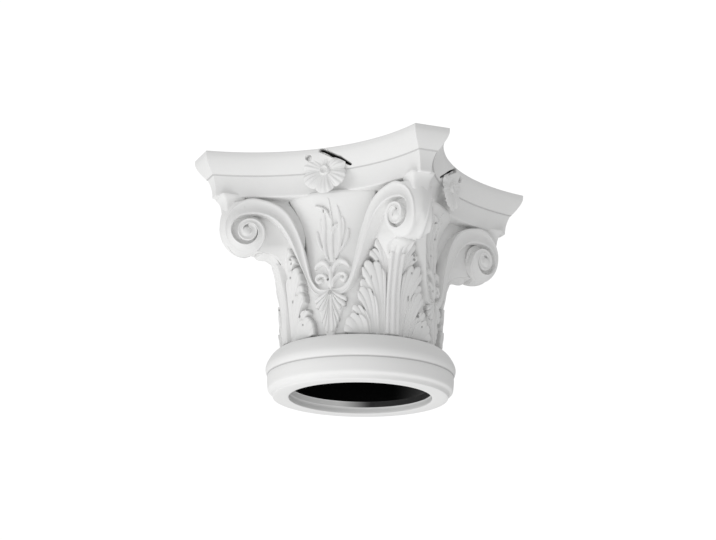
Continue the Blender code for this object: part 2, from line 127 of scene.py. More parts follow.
def hollowness(points, quads, triangles, normals, rounds=14):
    # How far the surface lies below its own smoothed shape: above zero in hollows, below zero on edges. Each
    # round moves every point 0.7 of the way to the mean of its neighbours.
    pairs = np.vstack([faces[:, [n, (n + 1) % sides]] for faces, sides in ((quads, 4), (triangles, 3))
                       for n in range(sides)])
    one = np.concatenate([pairs[:, 0], pairs[:, 1]])
    two = np.concatenate([pairs[:, 1], pairs[:, 0]])
    count = np.bincount(one, minlength=len(points))
    smooth = points.copy()
    for _ in range(rounds):
        sums = [np.bincount(one, weights=smooth[two, n], minlength=len(points)) for n in range(3)]
        smooth = 0.3 * smooth + 0.7 * np.stack(sums, -1) / count[:, None]
    return np.einsum("ij,ij->i", smooth - points, normals)


def addObject(name, data):
    # an object with this mesh, lamp or camera, linked to the scene
    item = bpy.data.objects.new(name, data)
    bpy.context.scene.collection.objects.link(item)
    return item


def makePiece(name, shells, finish, dark=None):
    # one mesh of closed shells, in millimetres; dark gives 0 to 1 of painted shade for each point of an unlit
    # pocket
    start, allPoints, allQuads, allTriangles = 0, [], [], []
    for points, quads, triangles in shells:
        allPoints.append(points)
        allQuads.append(quads + start)
        allTriangles.append(triangles + start)
        start += len(points)
    points, quads, triangles = np.vstack(allPoints), np.vstack(allQuads), np.vstack(allTriangles)
    mesh = bpy.data.meshes.new(name)
    mesh.vertices.add(len(points))
    mesh.vertices.foreach_set("co", (points * unit).astype(np.float32).ravel())
    mesh.loops.add(quads.size + triangles.size)
    corners = np.concatenate([quads.ravel(), triangles.ravel()])
    mesh.loops.foreach_set("vertex_index", corners.astype(np.int32))
    mesh.polygons.add(len(quads) + len(triangles))
    starts = np.concatenate([np.arange(len(quads)) * 4, quads.size + np.arange(len(triangles)) * 3])
    mesh.polygons.foreach_set("loop_start", starts.astype(np.int32))
    mesh.update(calc_edges=True)
    mesh.validate()
    mesh.shade_smooth()
    mesh.set_sharp_from_angle(angle=np.radians(sharpFrom))
    normals = np.zeros(len(mesh.vertices) * 3, np.float32)
    mesh.vertices.foreach_get("normal", normals)
    hollow = hollowness(points, quads, triangles, normals.reshape(-1, 3))
    # deep holds the painted shade of each point, and hollow how far the surface lies below its smoothed
    # shape.
    deep = np.zeros(len(points)) if dark is None else np.asarray(dark, float)
    for label, values in (("hollow", hollow), ("deep", deep)):
        mesh.attributes.new(label, "FLOAT", "POINT").data.foreach_set("value", values.astype(np.float32))
    mesh.materials.append(finish)
    piece = addObject(name, mesh)
    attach(piece, "root")
    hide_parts("capital")
    return piece


# Finishes

plaster = {
    "clean": (0.87, 0.87, 0.865, 1.0),
    # the dusty tone, which in the hollows stands for painted shade as well as dust
    "dustAndShade": (0.70, 0.70, 0.695, 1.0),
    "unlit": (0.012, 0.012, 0.012, 1.0),
    "roughness": 0.78,
    "shine": 0.5,
    "grain": 0.00025,       # height of the grain, in metres
}
# The lining is a sheet of painted shade in the hollow: near black, with clean a grey that stands for a
# painted sheen on one side.
lining = {
    "clean": (0.12, 0.12, 0.12, 1.0),       # grey of the painted sheen on one side
    "dustAndShade": (0.0012, 0.0012, 0.0012, 1.0),
    "unlit": (0.0012, 0.0012, 0.0012, 1.0),
    "roughness": 0.50,
    "shine": 0.06,
    "grain": 0.0005,
}


def plasterGroup():
    # Cast surface: faint clouds of tone, dust and painted shade in the hollows, bare edges, painted shade
    # from the mesh, pores and a fine grain.
    group = bpy.data.node_groups.new("castSurface", "ShaderNodeTree")
    sockets = (("Clean", "NodeSocketColor"), ("Dust And Shade", "NodeSocketColor"), ("Unlit", "NodeSocketColor"),
               ("Hollow", "NodeSocketFloat"), ("Painted Shade", "NodeSocketFloat"),
               ("Base Roughness", "NodeSocketFloat"), ("Grain Height", "NodeSocketFloat"))
    for label, kind in sockets:
        group.interface.new_socket(label, in_out="INPUT", socket_type=kind)
    results = (("Color", "NodeSocketColor"), ("Roughness", "NodeSocketFloat"), ("Normal", "NodeSocketVector"))
    for label, kind in results:
        group.interface.new_socket(label, in_out="OUTPUT", socket_type=kind)
    nodes, link = group.nodes, group.links.new
    given, result = nodes.new("NodeGroupInput"), nodes.new("NodeGroupOutput")
    place = nodes.new("ShaderNodeTexCoord")

    def noise(scale, detail):
        node = nodes.new("ShaderNodeTexNoise")
        node.inputs["Scale"].default_value = scale
        node.inputs["Detail"].default_value = detail
        link(place.outputs["Object"], node.inputs["Vector"])
        return node.outputs["Fac"]

    def span(value, low, high, outLow, outHigh):
        node = nodes.new("ShaderNodeMapRange")
        link(value, node.inputs["Value"])
        for label, number in (("From Min", low), ("From Max", high), ("To Min", outLow), ("To Max", outHigh)):
            node.inputs[label].default_value = number
        return node.outputs["Result"]

    def blend(share, one, two):
        node = nodes.new("ShaderNodeMix")
        node.data_type = "RGBA"
        link(share, node.inputs["Factor"])
        link(one, node.inputs[6])
        link(two, node.inputs[7])
        return node.outputs[2]

    def combine(operation, one, two):
        node = nodes.new("ShaderNodeMath")
        node.operation = operation
        link(one, node.inputs[0])
        link(two, node.inputs[1])
        return node.outputs[0]

    # Colour: dust and painted shade settle in patches where the surface is hollow, clouds of the dusty tone
    # lie over all, edges are bare, and the mesh's painted shade darkens it toward the unlit colour.
    patches = span(noise(60.0, 4.0), 0.25, 0.75, 0.6, 1.0)
    hollowDustAndShade = combine("MULTIPLY", span(given.outputs["Hollow"], 0.15, 2.2, 0.0, 0.75), patches)
    clouds = span(noise(14.0, 3.0), 0.35, 0.75, 0.0, 0.10)
    worn = span(given.outputs["Hollow"], -0.25, -1.2, 0.0, 0.5)
    toned = blend(clouds, given.outputs["Clean"], given.outputs["Dust And Shade"])
    dustedAndShaded = blend(hollowDustAndShade, toned, given.outputs["Dust And Shade"])
    bare = blend(worn, dustedAndShaded, given.outputs["Clean"])
    link(blend(given.outputs["Painted Shade"], bare, given.outputs["Unlit"]), result.inputs["Color"])

    uneven = span(noise(220.0, 3.0), 0.3, 0.7, -0.05, 0.08)
    link(combine("ADD", given.outputs["Base Roughness"], uneven), result.inputs["Roughness"])

    # Relief, in heights of the grain: slow waves, a fine grain, and pores that come in groups.
    waves, grain = span(noise(38.0, 3.0), 0.0, 1.0, 0.0, 2.2), span(noise(900.0, 4.0), 0.0, 1.0, 0.0, 0.35)
    pores = nodes.new("ShaderNodeTexVoronoi")
    pores.inputs["Scale"].default_value = 170.0
    link(place.outputs["Object"], pores.inputs["Vector"])
    pits = span(pores.outputs["Distance"], 0.05, 0.16, -1.0, 0.0)
    pits = combine("MULTIPLY", pits, span(noise(25.0, 2.0), 0.55, 0.7, 0.0, 0.8))
    relief = combine("ADD", combine("ADD", waves, grain), pits)
    bump = nodes.new("ShaderNodeBump")
    bump.inputs["Strength"].default_value = 0.6
    bump.inputs["Distance"].default_value = 1.0
    link(combine("MULTIPLY", relief, given.outputs["Grain Height"]), bump.inputs["Height"])
    link(bump.outputs["Normal"], result.inputs["Normal"])
    return group


def castFinish(name, finish):
    # the shader fed by the cast surface, which reads the finish's values, the mesh's hollow, and the painted
    # shade in its deep attribute
    material = bpy.data.materials.new(name)
    material.use_nodes = True
    nodes, link = material.node_tree.nodes, material.node_tree.links.new
    shader = nodes["Principled BSDF"]
    surface = nodes.new("ShaderNodeGroup")
    surface.node_tree = castSurface
    for socket, value in (("Clean", "clean"), ("Dust And Shade", "dustAndShade"), ("Unlit", "unlit"),
                          ("Base Roughness", "roughness"), ("Grain Height", "grain")):
        surface.inputs[socket].default_value = finish[value]
    for label, socket in (("hollow", "Hollow"), ("deep", "Painted Shade")):
        read = nodes.new("ShaderNodeAttribute")
        read.attribute_name = label
        link(read.outputs["Fac"], surface.inputs[socket])
    for label, socket in (("Color", "Base Color"), ("Roughness", "Roughness"), ("Normal", "Normal")):
        link(surface.outputs[label], shader.inputs[socket])
    shader.inputs["Specular IOR Level"].default_value = finish["shine"]
    return material


castSurface = plasterGroup()
whitePlaster = castFinish("white plaster", plaster)
shadeLining = castFinish("lining of painted shade", lining)
print("stage 2: finishes")


# Abacus

abacus = {
    "top": capitalHeight,
    "cornerReach": 250.4,       # axis to the flat of a cut corner
    "cornerHalf": 26.0,
    "waistReach": 145.5,        # axis to the middle of a hollow side
    "sideSteps": 150,
    "cornerSteps": 14,
    "bend": 0.35,               # how much closer the columns stand at the middle of a side
    "edge": [(0.9, 0.0), (0.3, 0.25), (0.0, 0.9), (0.0, 2.5), (0.1, 4.8)],      # (inset, depth below the top)
    "ovolo": (0.2, 325.0, 14.0, 301.0),         # inset and height where it starts and where it ends
    "step": [(14.1, 300.4), (14.8, 299.9), (15.7, 299.6)],
    "cavetto": (16.0, 299.0, 22.0, 273.0),
    "foot": [(22.2, 271.9), (23.0, 271.2), (25.0, 271.0)],
    "line": (299.5, 300.6),     # heights between which the step is painted in shade
    "lineShade": 0.3,
}
gap = {
    "turn": 27.0,               # its line falls by this angle to the right
    "off": 22.8,                # from the flower's middle to the line
    "tuck": (2.6, 1.3),         # the near slope starts and ends this far inside the line, behind the petals
    "wide": 4.2,
    "narrow": 0.8,              # share of the width that is lost toward the right end
    "from": -19.0,              # along the line: left end, where it starts to narrow, right end
    "narrowFrom": 12.0,
    "to": 34.0,
    "depth": 14.0,
    "edge": 0.9,                # width of the far slope
    "hole": (-22.5, 19.5, 3.4),     # place from the flower's middle, and radius
    "front": 100.0,             # only points farther out than this, and lower than the next, are pressed in
    "below": 330.5,
}
flowerPlace = {"out": 142.5, "height": 300.0, "radius": 34.0}


def abacusSide(inset, height, shrink=1.0):
    # An arc about a point in front of the face, which passes the hollow side's middle and the cut corners,
    # then the flat of the corner to its right.
    a = abacus
    cornerAcross = (a["cornerReach"] - a["cornerHalf"]) / rootTwo
    sagitta = (a["cornerReach"] + a["cornerHalf"]) / rootTwo - a["waistReach"]
    radius = (cornerAcross**2 + sagitta**2) / (2 * sagitta)
    centre = a["waistReach"] + radius
    radius = radius + inset
    half = ((a["cornerReach"] - inset) * rootTwo - centre) / 2
    end = np.arcsin((half + np.sqrt(radius**2 / 2 - half**2)) / radius)
    t = np.linspace(-1, 1, a["sideSteps"] + 1)
    angle = end * (a["bend"] * t + (1 - a["bend"]) * t**3)
    x, y = radius * np.sin(angle), radius * np.cos(angle) - centre
    f = np.linspace(0, 1, a["cornerSteps"] + 1)[1:-1]
    flat = np.stack([x[-1] + (-y[-1] - x[-1]) * f, y[-1] + (-x[-1] - y[-1]) * f], -1)
    outline = np.vstack([np.stack([x, y], -1), flat]) * shrink
    return np.column_stack([outline, np.full(len(outline), height)])


def abacusProfile():
    # (inset, height): plain edge, quarter-round, step, hollow and underside, with softened arrises
    a = abacus
    insetHigh, high, insetLow, low = a["ovolo"]
    rows = [(inset, a["top"] - depth) for inset, depth in a["edge"]]
    f = np.linspace(0, 1, 22)
    rows += list(zip(insetHigh + (insetLow - insetHigh) * f**1.5, high + (low - high) * f))
    insetHigh, high, insetLow, low = a["cavetto"]
    rows += a["step"]
    f = np.linspace(0, 1, 16)
    rows += list(zip(insetHigh + (insetLow - insetHigh) * (1 - (1 - f) ** 2), high + (low - high) * f))
    return rows + a["foot"]


def gapShare(aside, rise):
    # 1 between the gap's line and a second one that closes toward it, and in a round hole; 0 outside them
    g = gap
    s, c = np.sin(np.radians(g["turn"])), np.cos(np.radians(g["turn"]))
    off, along = aside * s + rise * c, aside * c - rise * s
    far = g["off"] + g["wide"] * (1 - g["narrow"] * ease(along, g["narrowFrom"], g["to"]))
    sunk = ease(off, g["off"] - g["tuck"][0], g["off"] - g["tuck"][1]) * ease(off, far, far - g["edge"])
    sunk = sunk * ease(along, g["from"], g["from"] + 2 * g["edge"])
    sunk = sunk * ease(along, g["to"], g["to"] - 3 * g["edge"])
    x, z, radius = g["hole"]
    return np.maximum(sunk, ease(np.hypot(aside - x, rise - z), radius + g["edge"], radius))


def makeAbacus():
    # Outlines stacked from the middle of the top to the middle of the underside. Above each flower they are
    # pressed inward by the gap's share of its depth, mirrored from face to face.
    inset, low = abacus["foot"][-1]
    rows = [abacusSide(abacus["edge"][0][0], abacus["top"], s) for s in (0.02, 0.3, 0.6, 0.85, 0.97)]
    rows += [abacusSide(*place) for place in abacusProfile()]
    rows += [abacusSide(inset, low, s) for s in (0.97, 0.8, 0.5, 0.02)]
    sides, shades = [], []
    for turn in range(faceCount):
        side, mirror = np.array(rows), 1 - 2 * (turn % 2)
        sunk = gapShare(side[..., 0] * mirror, side[..., 2] - flowerPlace["height"])
        sunk = sunk * (side[..., 1] < -gap["front"]) * (side[..., 2] < gap["below"])
        side[..., 1] += gap["depth"] * sunk
        sides.append(turnedQuarter(side, turn))
        # Painted shade: the gap, pressed in above, is painted dark as well, and so is the step's line.
        line = (side[..., 2] > abacus["line"][0]) & (side[..., 2] < abacus["line"][1])
        shades.append(np.maximum(ease(sunk, 0.2, 0.6), abacus["lineShade"] * line))
    dark = np.append(np.concatenate(shades, axis=1), [0.0, 0.0])
    makePiece("abacus", [closedShell(np.concatenate(sides, axis=1))], whitePlaster, dark)


makeAbacus()
print("stage 3: abacus")


# Bell with the ring at its foot, and the lining of the hollow

bell = {
    "ground": 108.0,
    "groundTop": 127.0,         # radius of the ground under the lip
    "lipLow": 265.0,
    "flare": 60.0,              # height over which the ground opens to the lip
    "flarePower": 2.2,
    "sides": 240,
}
# (radius, height) from the top of the lip, over the ring and the mouth's step, to the wall behind the lining
lipProfile = [(104.0, 273.0), (128.0, 272.9), (128.6, 272.4), (128.8, 271.4), (128.8, 268.6), (128.4, 267.6),
              (127.6, 266.4)]
ringTopProfile = [(108.2, 71.0), (108.6, 68.8), (109.4, 67.0), (110.4, 65.8)]
ringProfile = [(111.8, 65.4), (117.0, 65.4), (122.0, 63.2), (127.0, 58.8), (130.8, 53.6), (134.0, 48.0),
               (135.8, 43.0), (136.2, 39.5), (135.7, 35.8), (134.6, 32.6)]
bandProfile = [(133.0, 31.4), (132.8, 30.9), (133.1, 30.3)]
footProfile = [(133.6, 29.3), (133.7, 24.0), (133.3, 18.0), (132.8, 12.5), (132.0, 9.6), (130.2, 7.9)]
soleProfile = [(128.6, 7.2), (127.2, 6.3), (126.3, 4.9), (125.8, 3.2), (125.6, 1.2), (125.2, 0.3),
               (124.6, 0.0), (118.0, 0.0), (110.0, 0.0), (103.2, 0.0), (102.7, 0.2), (102.5, 0.8),
               (102.4, 3.0), (102.3, 6.0), (102.2, 9.0), (101.8, 9.5), (101.3, 10.2), (101.2, 16.6),
               (100.6, 17.3)]
wallProfile = [(98.4, 18.0), (98.4, 120.0), (98.4, 230.0), (104.0, 262.0)]
liningProfile = [(0.5, 303.5), (60.0, 303.5), (99.0, 303.5), (101.0, 302.0), (101.6, 299.0), (101.6, 270.0),
                 (99.5, 250.0), (97.6, 236.0), (97.2, 228.0), (97.0, 200.0), (97.0, 120.0), (97.0, 40.0),
                 (97.2, 19.0), (97.6, 17.6)]
liningEdge = [(99.4, 17.3), (101.0, 17.5)]
liningThick = 1.6
bellShade = {
    "step": {"strong": 1.0, "weak": 0.20, "from": -72.0, "to": -22.0, "inside": 102.2,
             "heights": (9.3, 19.0)},
    "seam": {"strong": 0.5, "inside": 117.5, "heights": (65.0, 69.5)},
    "groove": {"strong": 0.3, "outside": 125.0, "heights": (30.2, 31.6)},
    # the crease's arc from a face's middle grows from arcLow to arcHigh with the height's share to a power
    "crease": {"strong": 0.95, "outside": 107.0, "low": 173.0, "high": 270.0, "arcLow": 46.0, "arcHigh": 70.5,
               "power": 0.8, "ramp": (8.5, 4.0), "fade": (178.0, 212.0)},
}


def bellGround(height):
    # straight below, then opening to the lip with the share of the flare raised to a power
    b = bell
    rise = np.clip((height - (b["lipLow"] - b["flare"])) / b["flare"], 0, 1)
    return b["ground"] + (b["groundTop"] - b["ground"]) * rise ** b["flarePower"]


def turnedRings(profile, sides):
    # every profile point carried round the axis
    profile = np.asarray(profile, float)
    angle = np.linspace(0, 2 * np.pi, sides, endpoint=False)
    radius, height = profile[:, :1], profile[:, 1:]
    flat = np.ones((1, sides))
    return np.stack([radius * np.cos(angle), radius * np.sin(angle), height * flat], -1)


def shadeBell(points):
    # The darkest of four masks of painted shade: the mouth's step, the line above the ring, the ring's
    # groove, the creases.
    x, y, z = points.T
    radius = np.hypot(x, y)
    step, seam, groove, crease = (bellShade[name] for name in ("step", "seam", "groove", "crease"))

    def within(heights):
        return (z > heights[0]) & (z < heights[1])

    # Painted shade on the mouth's step, weak on the -X side and full toward +X.
    paintedStepShade = step["weak"] + (step["strong"] - step["weak"]) * ease(x, step["from"], step["to"])
    dark = paintedStepShade * within(step["heights"]) * (radius < step["inside"])
    dark = np.maximum(dark, seam["strong"] * within(seam["heights"]) * (radius < seam["inside"]))
    dark = np.maximum(dark, groove["strong"] * within(groove["heights"]) * (radius > groove["outside"]))
    # Painted shade as well, where nothing is lit: the crease beside each stem, and the ground hidden behind
    # it.
    quarter = (np.arctan2(x, -y) + np.pi / 4) % (np.pi / 2) - np.pi / 4
    share = np.clip((z - crease["low"]) / (crease["high"] - crease["low"]), 0, 1) ** crease["power"]
    arc = crease["arcLow"] + (crease["arcHigh"] - crease["arcLow"]) * share
    beside = ease(np.abs(quarter) * reliefRadius, arc - crease["ramp"][0], arc - crease["ramp"][1])
    beside = beside * ease(z, *crease["fade"]) * (z < crease["high"]) * (radius > crease["outside"])
    return np.maximum(dark, crease["strong"] * beside)


def makeBell():
    # One closed profile turned about the axis: lip, ground, ring, foot, sole, mouth's step and inner wall.
    heights = np.linspace(bell["lipLow"], bell["lipLow"] - bell["flare"], 26)
    profile = lipProfile + list(zip(bellGround(heights), heights))
    profile += [(bell["ground"], h) for h in np.linspace(200.0, 74.0, 16)] + ringTopProfile
    profile += list(map(tuple, smoothPath(ringProfile, 40))) + bandProfile
    profile += list(map(tuple, smoothPath(footProfile, 20))) + soleProfile + wallProfile
    rings = turnedRings(profile, bell["sides"])
    # The profile closes on itself, so the rings are carried across and the last row meets the first.
    rows, columns = rings.shape[:2]
    quads = gridQuads(columns, rows, True)
    points = np.swapaxes(rings, 0, 1).reshape(-1, 3)
    last = np.stack([np.arange(rows), (np.arange(rows) + 1) % rows], -1)
    quads = np.vstack([quads, np.column_stack([last + (columns - 1) * rows, last[:, ::-1]])])
    a, b, c, d = (points[quads[:, n]] for n in range(4))
    volume = np.einsum("ij,ij->i", a, np.cross(b, c)).sum() + np.einsum("ij,ij->i", a, np.cross(c, d)).sum()
    if volume < 0:
        quads = quads[:, ::-1]
    makePiece("bell_and_ring", [(points, quads, np.zeros((0, 3), int))], whitePlaster, shadeBell(points))


def makeLining():
    # The profile and its own copy set back by the thickness. The lining is painted shade: the tone falls to
    # black toward the top's middle, and grows lighter toward +X as a painted sheen.
    inner = smoothPath(liningProfile, 60)
    outer = inner[::-1] + np.array([liningThick, 0.0])
    outer[:, 1] += np.where(outer[:, 1] > 290, liningThick, 0.0)
    top = [(liningProfile[0][0], liningProfile[0][1] + liningThick)]
    rings = turnedRings(np.vstack([inner, liningEdge, outer[2:-1], top]), 120)
    dark = np.append(1 - 0.9 * ease(rings[..., 0], 10.0, 95.0), [1.0, 1.0])
    makePiece("lining", [closedShell(rings)], shadeLining, dark)


makeBell()
makeLining()
print("stage 4: bell, ring and lining")


# Stems and volutes

volute = {
    "eye": (111.3, 221.2),      # across from the middle of the face, and height
    "turn": 27.7,
    "stemFront": 112.0,
    "stemSpread": 56.0,
    "stemLead": 9.5,
    "stemOuter": [(0.0, 134.0), (10.0, 133.6), (18.5, 135.6), (25.5, 143.0), (30.5, 153.0), (34.0, 167.0),
                  (37.7, 183.0), (41.6, 199.0), (46.7, 215.0), (53.0, 231.0), (61.5, 246.5), (74.0, 258.5),
                  (91.0, 265.8)],
    "stemInner": [(0.0, 123.5), (15.0, 124.5), (27.0, 132.0), (34.5, 145.5), (40.0, 159.0), (45.5, 172.0),
                  (51.5, 189.0), (58.0, 206.0), (65.0, 220.0), (73.0, 231.5), (82.5, 239.5), (91.5, 243.5),
                  (101.0, 245.0)],
    "step": 30.0,               # degrees between two knots of the spiral
    "rimOut": [(0, 46.5), (45, 38.2), (90, 33.0), (135, 31.8), (180, 31.0), (225, 28.0), (270, 23.0),
               (315, 19.0), (360, 16.2), (405, 15.2), (450, 15.0), (495, 15.2), (540, 15.0), (600, 13.5),
               (660, 11.5), (720, 9.0)],
    "rimIn": [(0, 23.2), (45, 24.0), (90, 24.0), (135, 22.6), (180, 20.6), (225, 16.6), (270, 13.2),
              (315, 10.6), (360, 8.8), (405, 7.8), (450, 7.0), (495, 6.4), (540, 5.8), (600, 4.8),
              (660, 3.8), (720, 2.8)],
    "riseOut": [(0, 0.0), (45, -3.2), (90, -7.0), (135, -12.5), (180, -16.5), (225, -8.0), (270, -0.5),
                (315, 1.6), (360, 2.0), (450, 0.6), (540, 0.0), (630, 0.6), (720, 0.0)],
    "riseIn": [(0, -0.6), (90, -1.6), (180, -1.2), (225, 0.6), (270, 2.0), (315, 2.4), (360, 2.2), (450, 1.4),
               (540, 1.0), (630, 0.8), (720, 0.0)],
    "snail": [(0.4, 4.6), (6.0, 4.8), (10.0, 5.2), (13.0, 6.2), (16.0, 8.2), (19.0, 10.2), (22.0, 11.6),
              (24.6, 12.0), (25.0, 14.0), (12.0, 14.5), (0.5, 14.6)],       # (radius, depth) behind the coils
    "boss": {"out": 2.6, "down": 2.8, "radius": 9.4, "crest": 2.6, "drop": 7.6, "power": 2.6, "root": 9.0},
    "channel": 2.6,
    "fullWidth": 16.0,          # width of the band at which the channel has its whole depth
    "bead": 0.13,               # share of the width that each edge's bead takes
    "soft": (0.07, 1.1),        # share of the width that is rounded at an edge, and by how much
    "coilBack": (17.0, 13.0),   # depth of the coils' outer and inner wall
    "frontColumns": 17,
    "stepRows": 10,
}
voluteSlope = np.tan(np.radians(volute["turn"]))


def frontPlace(across, height, inward):
    # Depth in front of the axis: stemFront and stemLead times the cube of the share of stemSpread, then a
    # straight run to the corner; inward moves back along the front's own normal.
    v = volute
    bend = np.minimum(across, v["stemSpread"]) / v["stemSpread"]
    beyond = np.maximum(0.0, across - v["stemSpread"])
    depth = v["stemFront"] + v["stemLead"] * bend**3 + voluteSlope * beyond
    slope = np.where(across < v["stemSpread"], 3 * v["stemLead"] * bend**2 / v["stemSpread"], voluteSlope)
    length = np.hypot(slope, 1.0)
    return np.stack([across + inward * slope / length, -depth + inward / length, height + 0 * across], -1)


def wayIn(across, height):
    # distance behind the front at which the bell or the corner's middle plane is met
    place = frontPlace(across, height, np.zeros_like(across))
    back = frontPlace(across, height, np.ones_like(across)) - place
    x, y, bx, by = place[:, 0], place[:, 1], back[:, 0], back[:, 1]
    toMiddle = -(x + y) / (bx + by) - 0.6
    along = x * bx + y * by
    inside = along**2 - (x**2 + y**2 - (bellGround(height) - 3.0) ** 2)
    toBell = np.where(inside > 0, -along - np.sqrt(np.maximum(inside, 0)), 1e9)
    return np.minimum(np.maximum(toMiddle, 1.0), np.maximum(toBell, 3.0))


def voluteEdges():
    # Outer and inner edge of the band: up the stem, then round the eye, with radius and rise by the turn.
    v = volute
    turns = np.arange(0, 721, v["step"])
    narrow = np.cos(np.radians(v["turn"]))
    s, c = np.sin(np.radians(turns)) * narrow, np.cos(np.radians(turns))
    edges = []
    for stem, radius, rise in ((v["stemOuter"], "rimOut", "riseOut"), (v["stemInner"], "rimIn", "riseIn")):
        r = curveValue(turns, v[radius])
        up = curveValue(turns, v[rise])
        knots = [(x, z, 0.0) for x, z in stem]
        knots += list(zip(v["eye"][0] + r * s, v["eye"][1] + r * c, up))
        edges.append(smoothPath(knots, (len(knots) - 1) * v["stepRows"] + 1))
    stemRows = len(v["stemOuter"]) * v["stepRows"]
    turnAt = (np.arange(len(edges[0])) - stemRows) / v["stepRows"] * v["step"]
    return edges[0], edges[1], turnAt


def makeBand():
    # The front is ruled from the outer edge to the inner one, and two walls close the band behind it.
    v = volute
    outer, inner, turnAt = voluteEdges()
    width = np.linalg.norm((outer - inner)[:, :2], axis=1)
    w = np.linspace(0, 1, v["frontColumns"])[None, :]
    across = outer[:, :1] + (inner[:, :1] - outer[:, :1]) * w
    height = outer[:, 1:2] + (inner[:, 1:2] - outer[:, 1:2]) * w
    rise = outer[:, 2:] + (inner[:, 2:] - outer[:, 2:]) * w
    # Front: a channel between two beads, shallower where the band is narrow, and rounded edges.
    deep = v["channel"] * np.clip(width / v["fullWidth"], 0.25, 1.15)[:, None]
    channel = deep * np.sin(np.pi * np.clip((w - v["bead"]) / (1 - 2 * v["bead"]), 0, 1)) ** 0.7
    near, fall = v["soft"]
    edges = fall * (1 - np.clip(w / near, 0, 1)) ** 2 + fall * (1 - np.clip((1 - w) / near, 0, 1)) ** 2
    inward = channel + edges - rise
    # Walls: back to the bell along the stem, and only to the coils' own depth round the spiral.
    onSpiral = ease(turnAt, -30, 20)
    walls = []
    for edge, start, depth, shares in ((inner, inward[:, -1], v["coilBack"][1], (0.25, 0.6, 1.0)),
                                       (outer, inward[:, 0], v["coilBack"][0], (1.0, 0.6, 0.25))):
        reach = wayIn(edge[:, 0], edge[:, 1])
        back = reach * (1 - onSpiral) + np.minimum(reach, depth) * onSpiral
        back = np.maximum(back, 2.5 - edge[:, 2])
        walls += [frontPlace(edge[:, 0], edge[:, 1], start + (back - start) * share) for share in shares]
    return np.concatenate([frontPlace(across, height, inward), np.stack(walls, 1)], axis=1)


def makeSnailFloor():
    # Disc behind the coils: depth against radius, from its middle to its edge and back behind.
    v = volute
    radius, inward = np.array(v["snail"]).T
    angle = np.linspace(0, 2 * np.pi, 48, endpoint=False)
    across = v["eye"][0] + radius[:, None] * np.sin(angle) * np.cos(np.radians(v["turn"]))
    height = v["eye"][1] + radius[:, None] * np.cos(angle)
    return frontPlace(across, height, inward[:, None] + 0 * across)


def makeBoss():
    # Dome off the middle of the coils: it drops from the crest with the radius's share to a power.
    v, b = volute, volute["boss"]
    share = np.append(np.linspace(0.03, 1.0, 14), [0.98, 0.5, 0.03])[:, None]
    inward = -b["crest"] + b["drop"] * share ** b["power"]
    inward[-3:] = b["root"]
    angle = np.linspace(0, 2 * np.pi, 40, endpoint=False)
    across = v["eye"][0] + (b["out"] + b["radius"] * share * np.sin(angle)) * np.cos(np.radians(v["turn"]))
    height = v["eye"][1] - b["down"] + b["radius"] * share * np.cos(angle)
    return frontPlace(across, height, inward + 0 * across)


def makeVolutes():
    # the band, the disc and the dome to the right of each face, and mirrored to its left
    parts = (makeBand(), makeSnailFloor(), makeBoss())
    for turn in range(faceCount):
        for side, label in ((1, "right"), (-1, "left")):
            mirror = np.array([side, 1, 1])
            shells = [closedShell(turnedQuarter(rings * mirror, turn)) for rings in parts]
            makePiece(f"volute_{label}_{turn + 1}", shells, whitePlaster)


makeVolutes()
print("stage 5: stems and volutes")


# Corners: web between two volutes, the ground behind them and the neck up to the abacus

corner = {
    "webMiddle": [(212.0, 262.0), (214.5, 254.0), (217.2, 243.0), (218.0, 232.0), (216.0, 217.5),
                  (206.5, 205.5), (195.0, 196.0), (184.0, 191.0), (173.0, 190.6)],
    "webTurns": (10.0, 205.0),
    "webRows": 90,
    "webColumns": 25,
    "webThick": 12.0,           # from the front toward the line between the eyes
    "rimInset": 0.4,            # the web's edge lies this far inside the volute's rim, and this far behind it
    "rimBack": 1.6,
    "eyeOut": 184.6,            # distance out of the line between the two eyes
    "setback": 17.0,
    "groundPath": [(120.0, 156.0), (124.0, 168.0), (128.0, 179.0), (136.0, 188.0), (148.0, 193.0),
                   (164.0, 195.0), (180.0, 197.5), (193.0, 203.0), (201.0, 211.0), (206.0, 224.0),
                   (207.0, 240.0), (206.0, 258.0), (205.0, 275.0)],
    "groundInner": 104.5,
    "groundNarrow": (0.30, 166.0, 206.0),       # share of its width at the foot, and heights where it grows
    "neckReach": [(238.0, 206.0), (246.0, 212.0), (252.0, 214.0), (256.0, 214.6), (260.0, 215.4),
                  (264.0, 216.6), (267.5, 218.4), (270.0, 220.6), (271.4, 222.0), (274.0, 222.6)],
    "neckHalf": [(238.0, 7.0), (246.0, 9.5), (252.0, 12.0), (256.0, 12.6), (262.0, 13.4), (267.5, 15.2),
                 (271.4, 17.2), (274.0, 18.0)],
    "neckHeights": (238.0, 274.0),
    "neckRound": (8.0, 0.45),   # depth of the rounded front, and the power that squares it
    "neckBack": 188.0,
}


def halfGap(out):
    # half the distance between a corner's two volute fronts, at a distance out along the diagonal
    offset = volute["stemFront"] + volute["stemLead"] - voluteSlope * volute["stemSpread"]
    across = (out * rootTwo - offset) / (1 + voluteSlope)
    return (offset + (voluteSlope - 1) * across) / rootTwo


